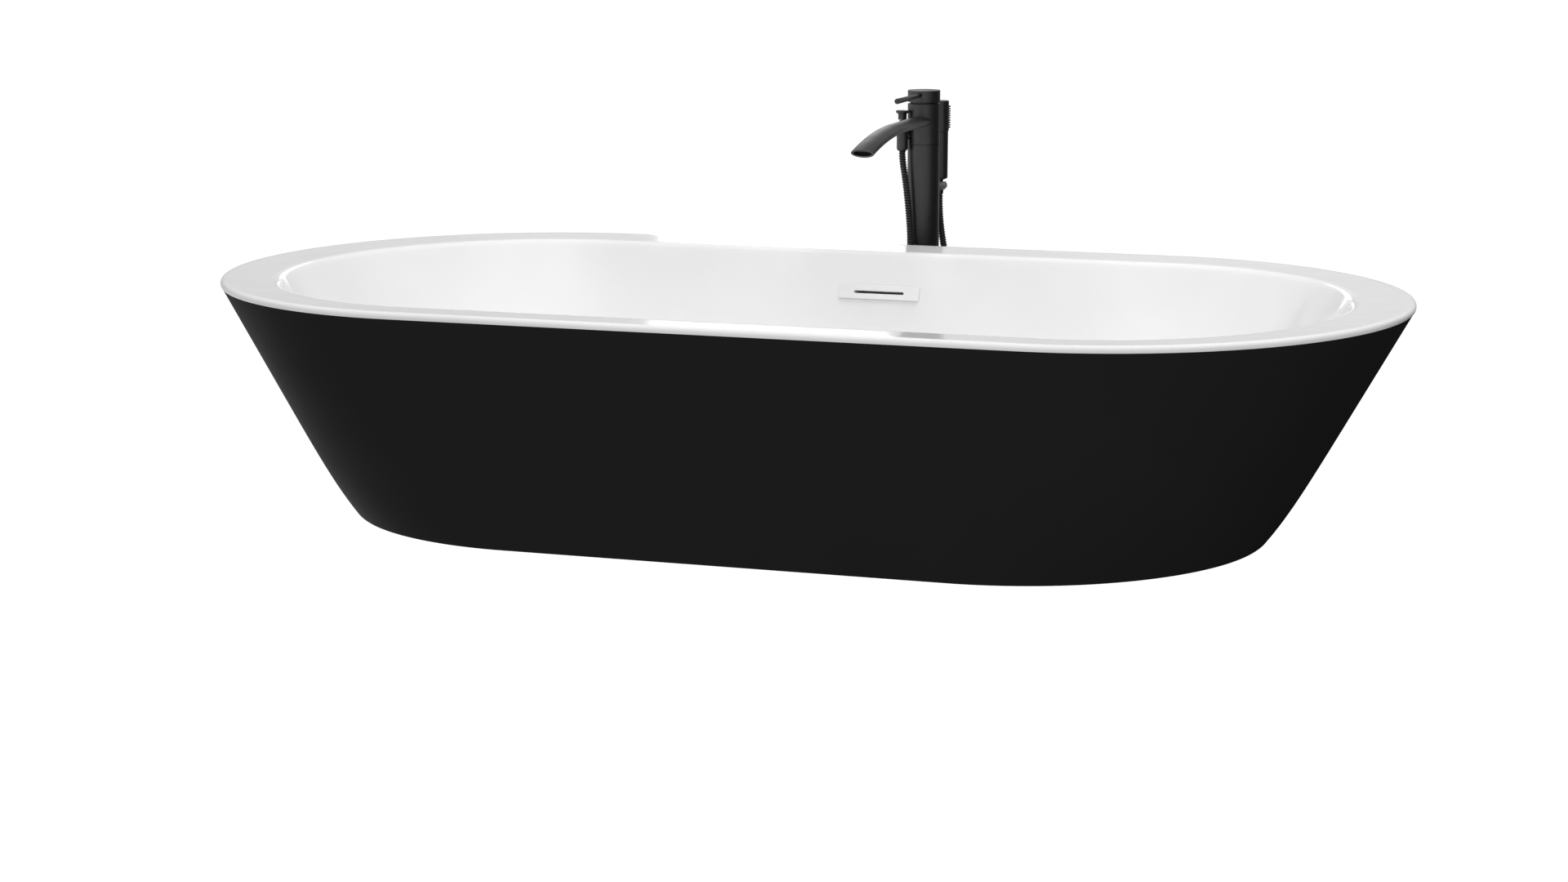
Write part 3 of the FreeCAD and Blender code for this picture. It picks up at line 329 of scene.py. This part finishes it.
def smooth_route(points):
    """Points along the NURBS spline whose control points are the route."""
    curve = bpy.data.curves.new("hose_route", "CURVE")
    curve.dimensions = "3D"
    curve.resolution_u = ROUTE_STEPS
    spline = curve.splines.new("NURBS")
    spline.points.add(len(points) - 1)
    for control, place in zip(spline.points, points):
        control.co = (*place, 1.0)
    spline.order_u = 3
    spline.use_endpoint_u = True
    holder = bpy.data.objects.new("hose_route", curve)
    mesh = bpy.data.meshes.new_from_object(holder)
    line = [v.co.copy() for v in mesh.vertices]
    bpy.data.objects.remove(holder)
    bpy.data.meshes.remove(mesh)
    bpy.data.curves.remove(curve)
    return line


def evenly(line, step):
    """The same line with points an equal distance apart."""
    lengths = [0.0]
    for a, b in zip(line, line[1:]):
        lengths.append(lengths[-1] + (b - a).length)
    count = round(lengths[-1] / step)
    points, k = [], 0
    for n in range(count + 1):
        target = lengths[-1] * n / count
        while k < len(line) - 2 and lengths[k + 1] < target:
            k += 1
        share = (target - lengths[k]) / (lengths[k + 1] - lengths[k])
        points.append(line[k].lerp(line[k + 1], share))
    return points


def hose():
    """A tube along the route; its ribs run round it as one long thread."""
    points = evenly(smooth_route(HOSE_ROUTE), RIB_PITCH / RINGS_PER_RIB)
    side = Vector((1.0, 0.0, 0.0))
    verts = []
    for n, p in enumerate(points):
        heading = (points[min(n + 1, len(points) - 1)] - points[max(n - 1, 0)]).normalized()
        side = (side - heading * side.dot(heading)).normalized()
        other = heading.cross(side)
        for i in range(HOSE_SIDES):
            angle = 2 * math.pi * i / HOSE_SIDES
            phase = 2 * math.pi * n / RINGS_PER_RIB - angle
            groove = (0.5 + 0.5 * math.cos(phase)) ** GROOVE_POWER
            radius = HOSE_DIAMETER / 2 - RIB_DEPTH * groove
            verts.append(p + (side * math.cos(angle) + other * math.sin(angle)) * radius)
    faces = ring_faces(len(points), HOSE_SIDES)
    last = (len(points) - 1) * HOSE_SIDES
    faces.append(tuple(reversed(range(HOSE_SIDES))))
    faces.append(tuple(range(last, last + HOSE_SIDES)))
    obj = new_object("hose", verts, faces, HOSE_SHARP_DEG)
    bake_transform(obj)
    return obj


# ---------------------------------------------------------------- materials
NOISE_SPREAD = (0.3, 0.7)              # the part of a noise's range that is stretched from low to high
COAT_ROUGHNESS = 0.04
DARKER = 0.92                          # the second colour, where a material gives none
MIX_COLOUR_A, MIX_COLOUR_B, MIX_COLOUR_OUT = 6, 7, 2      # sockets of the Mix node, for colours
MIX_LEVEL_A, MIX_LEVEL_B = 2, 3                           # and for single numbers


def node(tree, kind, **values):
    made = tree.nodes.new(kind)
    for key, value in values.items():
        if hasattr(made, key):
            setattr(made, key, value)
        else:
            made.inputs[key].default_value = value
    return made


def noise_factor(tree, coords, scale, detail, stretch=None):
    source = coords.outputs["Object"]
    if stretch:
        mapping = node(tree, "ShaderNodeMapping")
        mapping.inputs["Scale"].default_value = stretch
        tree.links.new(source, mapping.inputs["Vector"])
        source = mapping.outputs["Vector"]
    noise = node(tree, "ShaderNodeTexNoise", Scale=scale, Detail=detail)
    tree.links.new(source, noise.inputs["Vector"])
    return noise.outputs["Fac"]


def ranged(tree, factor, limits, low, high, **settings):
    """A level that goes from low to high as the factor goes from one limit to the other."""
    spread = node(tree, "ShaderNodeMapRange", **settings)
    spread.inputs["From Min"].default_value = limits[0]
    spread.inputs["From Max"].default_value = limits[1]
    spread.inputs["To Min"].default_value = low
    spread.inputs["To Max"].default_value = high
    tree.links.new(factor, spread.inputs["Value"])
    return spread.outputs["Result"]


def finish_of(name, base, rough, other=None, colour_scale=8.0, grain_scale=900.0, grain=0.00002,
              metallic=0.0, specular=0.5, coat=0.0, stretch=None, swell_scale=None, swell=0.0):
    """A Principled material: colour and roughness vary slowly, and a fine grain bumps the surface."""
    material = bpy.data.materials.new(name)
    material.use_nodes = True
    tree = material.node_tree
    shader = tree.nodes["Principled BSDF"]
    shader.inputs["Metallic"].default_value = metallic
    shader.inputs["Specular IOR Level"].default_value = specular
    shader.inputs["Coat Weight"].default_value = coat
    shader.inputs["Coat Roughness"].default_value = COAT_ROUGHNESS
    coords = node(tree, "ShaderNodeTexCoord")
    slow = noise_factor(tree, coords, colour_scale, 3.0, stretch)
    blend = node(tree, "ShaderNodeMix", data_type="RGBA")
    blend.inputs[MIX_COLOUR_A].default_value = (*base, 1.0)
    blend.inputs[MIX_COLOUR_B].default_value = (*(other or [c * DARKER for c in base]), 1.0)
    tree.links.new(ranged(tree, slow, NOISE_SPREAD, 0.0, 1.0), blend.inputs[0])
    tree.links.new(blend.outputs[MIX_COLOUR_OUT], shader.inputs["Base Color"])
    tree.links.new(ranged(tree, slow, NOISE_SPREAD, *rough), shader.inputs["Roughness"])
    fine = noise_factor(tree, coords, grain_scale, 4.0, stretch)
    bump = node(tree, "ShaderNodeBump", Strength=1.0, Distance=grain)
    tree.links.new(fine, bump.inputs["Height"])
    if swell_scale:
        wide = node(tree, "ShaderNodeBump", Strength=1.0, Distance=swell)
        tree.links.new(noise_factor(tree, coords, swell_scale, 1.0), wide.inputs["Height"])
        tree.links.new(wide.outputs["Normal"], bump.inputs["Normal"])
    tree.links.new(bump.outputs["Normal"], shader.inputs["Normal"])
    return material


ACRYLIC = finish_of("white_acrylic", (0.855, 0.855, 0.86), (0.09, 0.13), colour_scale=3.0,
                    grain_scale=700.0, grain=0.000004, coat=0.2, swell_scale=14.0, swell=0.0004)
SKIRT = finish_of("black_skirt", (0.0160, 0.0160, 0.0167), (0.46, 0.54), colour_scale=5.0,
                  grain_scale=1500.0, grain=0.00002, specular=0.01)
BLACK_METAL = finish_of("black_metal", (0.0065, 0.0065, 0.007), (0.36, 0.44), colour_scale=20.0,
                        grain_scale=2600.0, grain=0.00001, specular=0.85)
BLACK_PLASTIC = finish_of("black_plastic", (0.14, 0.14, 0.143), (0.38, 0.5), grain_scale=2000.0)
HOSE_BLACK = finish_of("hose_black", (0.014, 0.014, 0.015), (0.30, 0.42), colour_scale=30.0,
                       grain_scale=2000.0, specular=0.6)
TRIM = finish_of("white_trim", (0.84, 0.84, 0.845), (0.08, 0.14), grain_scale=900.0, grain=0.000005,
                 coat=0.4)
RUBBER = finish_of("rubber", (0.02, 0.02, 0.02), (0.6, 0.8), grain_scale=1500.0, grain=0.00005)
NUBS = finish_of("nub_rubber", (0.03, 0.03, 0.03), (0.5, 0.6), grain_scale=3000.0, grain=0.00002)
LAMINATE = finish_of("laminate", (0.62, 0.64, 0.56), (0.35, 0.6), other=(0.5, 0.53, 0.44),
                     colour_scale=60.0, grain_scale=160.0, grain=0.0006, stretch=(1.0, 0.25, 2.0))
BOARD = finish_of("board", (0.55, 0.38, 0.21), (0.5, 0.7), other=(0.40, 0.25, 0.12),
                  colour_scale=12.0, grain_scale=90.0, grain=0.0003, stretch=(0.12, 2.5, 1.0))
GALVANISED = finish_of("galvanised", (0.55, 0.57, 0.58), (0.3, 0.55), other=(0.40, 0.42, 0.44),
                       colour_scale=90.0, grain_scale=500.0, grain=0.00002, metallic=0.9)
ZINC = finish_of("zinc", (0.60, 0.60, 0.58), (0.25, 0.4), other=(0.5, 0.5, 0.46),
                 colour_scale=120.0, metallic=1.0)
STAINLESS = finish_of("stainless", (0.58, 0.58, 0.58), (0.18, 0.35), colour_scale=60.0,
                      grain_scale=700.0, metallic=1.0, stretch=(1.0, 1.0, 8.0))
BRASS = finish_of("brass", (0.70, 0.50, 0.22), (0.2, 0.35), other=(0.6, 0.42, 0.18),
                  colour_scale=80.0, metallic=1.0)
COPPER = finish_of("copper", (0.72, 0.36, 0.22), (0.2, 0.4), other=(0.55, 0.25, 0.15),
                   colour_scale=40.0, metallic=1.0, stretch=(1.0, 1.0, 0.2))
WASTE = finish_of("waste_plastic", (0.74, 0.74, 0.71), (0.35, 0.5), colour_scale=15.0,
                  grain_scale=400.0, grain=0.00004)
CARTRIDGE = finish_of("cartridge", (0.70, 0.67, 0.58), (0.35, 0.5), colour_scale=50.0)
SEALANT = finish_of("sealant", (0.25, 0.25, 0.25), (0.5, 0.7), grain_scale=300.0, grain=0.0002)

LOOKS = {
    ACRYLIC: ["basin_shell"],
    SKIRT: ["outer_skirt"],
    LAMINATE: ["basin_laminate"],
    SEALANT: ["rim_adhesive_bead"],
    BOARD: ["base_board"],
    GALVANISED: ["front_rail", "rear_rails", "frame_crossbars"],
    ZINC: ["foot_studs", "foot_lock_nuts", "foot_weld_nuts"],
    RUBBER: ["foot_pads", "overflow_gasket", "drain_gasket", "stopper_seal", "bonnet_seal",
             "diverter_plunger", "head_seal", "hose_washer"],
    TRIM: ["overflow_plate", "drain_flange", "drain_stopper"],
    WASTE: ["overflow_body", "overflow_pipe", "drain_lock_nut", "drain_body", "tailpiece"],
    STAINLESS: ["stopper_stem", "floor_plate", "tilt_pin", "cap_grub_screw", "diverter_stem",
                "cradle_screw"],
    COPPER: ["supply_pipe_hot", "supply_pipe_cold"],
    CARTRIDGE: ["mixer_cartridge"],
    BRASS: ["mixer_carrier", "hose_top_nut"],
    BLACK_METAL: ["base_cover", "column_tube", "valve_body", "mixer_cap", "mixer_lever", "spout",
                  "diverter_body", "diverter_knob", "bonnet_nut", "handset_handle", "spray_head",
                  "handset_cone_nut"],
    BLACK_PLASTIC: ["handset_cradle"],
    NUBS: ["spray_nubs", "aerator"],
    HOSE_BLACK: ["shower_hose"],
}


def paint(obj, material):
    obj.data.materials.clear()
    obj.data.materials.append(material)


for look, names in LOOKS.items():
    for node_name in names:
        paint(NODES[node_name], look)


# ---------------------------------------------------------------- build
hose_piece = hose()
paint(hose_piece, HOSE_BLACK)
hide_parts("shower_hose")

basin_piece = basin()
paint(basin_piece, ACRYLIC)
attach(basin_piece, ROOT)
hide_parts("basin_shell")

skirt_piece = skirt()
paint(skirt_piece, SKIRT)
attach(skirt_piece, ROOT)
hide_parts("outer_skirt")

# ---------------------------------------------------------------- floor and light
# How bright the room is: its walls and floor on matt surfaces, and its walls in reflections.
WALLS_LIGHT = 0.40
FLOOR_LIGHT = 0.50
WALLS_SHINE = 0.50
FLOOR_SEEN = 1.05                      # the floor as the camera sees it: white, with no shadow on it

# The room's bright panel and dark side: where each lies, how bright it is, and the cosines between
# a direction and its middle where it starts and where it is full.
PANEL_SIDE = (-0.71, -0.71, 0.0)
PANEL_LIMITS = (-0.09, 0.64)
PANEL_SHINE = 0.90
DARK_SIDE = (0.966, 0.259, 0.0)
DARK_LIMITS = (0.40, 0.80)
DARK_SHINE = 0.08                      # as a share of what it would be

FLOOR_HALF = 80.0
FLOOR_LEVEL = -0.0005                  # just under the object, so that faces at z = 0 don't fight with it
FLOOR_CORNERS = ((-1, -1), (1, -1), (1, 1), (-1, 1))

LIGHTS = {
    "key": dict(place=(1.2, -4.6, 3.2), target=(0.0, 0.0, 0.3), width=3.0, height=3.0,
                power=95.0, in_reflections=False),
    "overhead": dict(place=(0.6, 0.3, 4.5), target=(0.0, 0.3, 0.0), width=4.0, height=4.0,
                     power=145.0, in_reflections=False),
    "back_softbox": dict(place=(-1.5, 4.28, 1.65), target=(0.3, 0.0, 0.4), width=0.75, height=1.8,
                         power=7.0, in_reflections=True),
}


def area_light(name, place, target, width, height, power, in_reflections):
    data = bpy.data.lights.new(name, "AREA")
    data.shape = "RECTANGLE"
    data.size, data.size_y = width, height
    data.energy = power
    lamp = bpy.data.objects.new(name, data)
    lamp.location = place
    lamp.rotation_euler = (Vector(target) - Vector(place)).to_track_quat("-Z", "Y").to_euler()
    lamp.visible_camera = False
    lamp.visible_glossy = in_reflections
    bpy.context.scene.collection.objects.link(lamp)


def facing(tree, direction, towards, limits, low, high):
    """A level that goes from low to high as a direction turns towards a heading."""
    product = node(tree, "ShaderNodeVectorMath", operation="DOT_PRODUCT")
    product.inputs[1].default_value = towards
    tree.links.new(direction, product.inputs[0])
    return ranged(tree, product.outputs["Value"], limits, low, high, interpolation_type="SMOOTHSTEP")


def room_shine(tree, direction):
    """How bright the room looks in reflections: a broad soft panel, and one dark side."""
    panel = facing(tree, direction, PANEL_SIDE, PANEL_LIMITS, WALLS_SHINE, PANEL_SHINE)
    dark = facing(tree, direction, DARK_SIDE, DARK_LIMITS, 1.0, DARK_SHINE)
    both = node(tree, "ShaderNodeMath", operation="MULTIPLY")
    tree.links.new(panel, both.inputs[0])
    tree.links.new(dark, both.inputs[1])
    return both.outputs[0]


def glossy_or(tree, matt_level, shine):
    """The light path, and a level that is one thing on matt surfaces and another in reflections."""
    path = node(tree, "ShaderNodeLightPath")
    level = node(tree, "ShaderNodeMix", data_type="FLOAT")
    level.inputs[MIX_LEVEL_A].default_value = matt_level
    tree.links.new(path.outputs["Is Glossy Ray"], level.inputs[0])
    tree.links.new(shine, level.inputs[MIX_LEVEL_B])
    return path, level.outputs[0]


def floor_material():
    """A floor that glows as the room does, and is plain white to the camera."""
    material = bpy.data.materials.new("floor")
    material.use_nodes = True
    tree = material.node_tree
    tree.nodes.remove(tree.nodes["Principled BSDF"])
    outwards = node(tree, "ShaderNodeVectorMath", operation="NORMALIZE")
    tree.links.new(node(tree, "ShaderNodeTexCoord").outputs["Object"], outwards.inputs[0])
    path, level = glossy_or(tree, FLOOR_LIGHT, room_shine(tree, outwards.outputs[0]))
    lit = node(tree, "ShaderNodeEmission")
    tree.links.new(level, lit.inputs["Strength"])
    pale = node(tree, "ShaderNodeEmission", Strength=FLOOR_SEEN)
    shade = node(tree, "ShaderNodeMixShader")
    tree.links.new(path.outputs["Is Camera Ray"], shade.inputs[0])
    tree.links.new(lit.outputs[0], shade.inputs[1])
    tree.links.new(pale.outputs[0], shade.inputs[2])
    tree.links.new(shade.outputs[0], tree.nodes["Material Output"].inputs["Surface"])
    return material


def studio_world():
    world = bpy.data.worlds.new("studio")
    world.use_nodes = True
    tree = world.node_tree
    direction = node(tree, "ShaderNodeTexCoord").outputs["Generated"]
    _, level = glossy_or(tree, WALLS_LIGHT, room_shine(tree, direction))
    background = tree.nodes["Background"]
    tree.links.new(level, background.inputs["Strength"])
    background.inputs["Color"].default_value = (1.0, 1.0, 1.0, 1.0)
    return world


floor = new_object("floor", [(x * FLOOR_HALF, y * FLOOR_HALF, FLOOR_LEVEL) for x, y in FLOOR_CORNERS],
                   [(0, 1, 2, 3)])
paint(floor, floor_material())
bpy.context.scene.world = studio_world()
for light_name, settings in LIGHTS.items():
    area_light(light_name, **settings)
